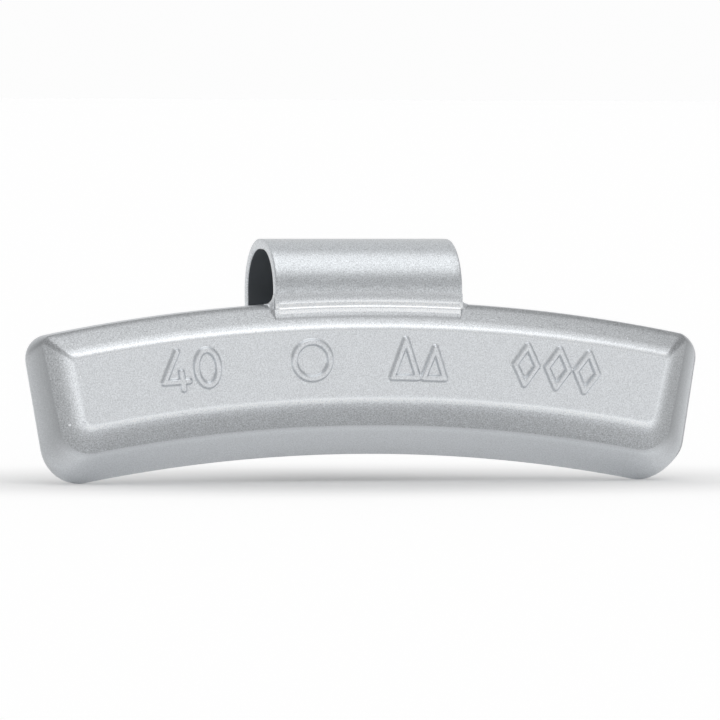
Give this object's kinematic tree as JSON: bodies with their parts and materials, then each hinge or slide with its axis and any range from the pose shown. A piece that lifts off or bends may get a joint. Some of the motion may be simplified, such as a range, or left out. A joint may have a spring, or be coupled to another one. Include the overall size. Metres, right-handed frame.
{
  "type": "wheel balance weight",
  "caption": "Curved zinc wheel balance weight with a bevelled raised face and a spring steel hook that clips over a rim flange",
  "frame": {"origin": "the middle of the hook's crown, on its inside, where the edge of the rim flange bears", "axes": "+X runs along the weight, from the end at the viewer's left to the end at the right; -Y is the outside of the wheel, which the raised face looks at; +Z points away from the wheel's axis"},
  "size_m": [0.076, 0.0141, 0.0264],
  "materials": {
    "painted_zinc": "fine silver metallic paint over cast zinc, satin",
    "painted_steel": "fine silver metallic paint over spring steel strip, satin"
  },
  "bodies": {
    "root": {"weight_body": "painted_zinc", "rim_clip": "painted_steel"}
  },
  "joints": []
}
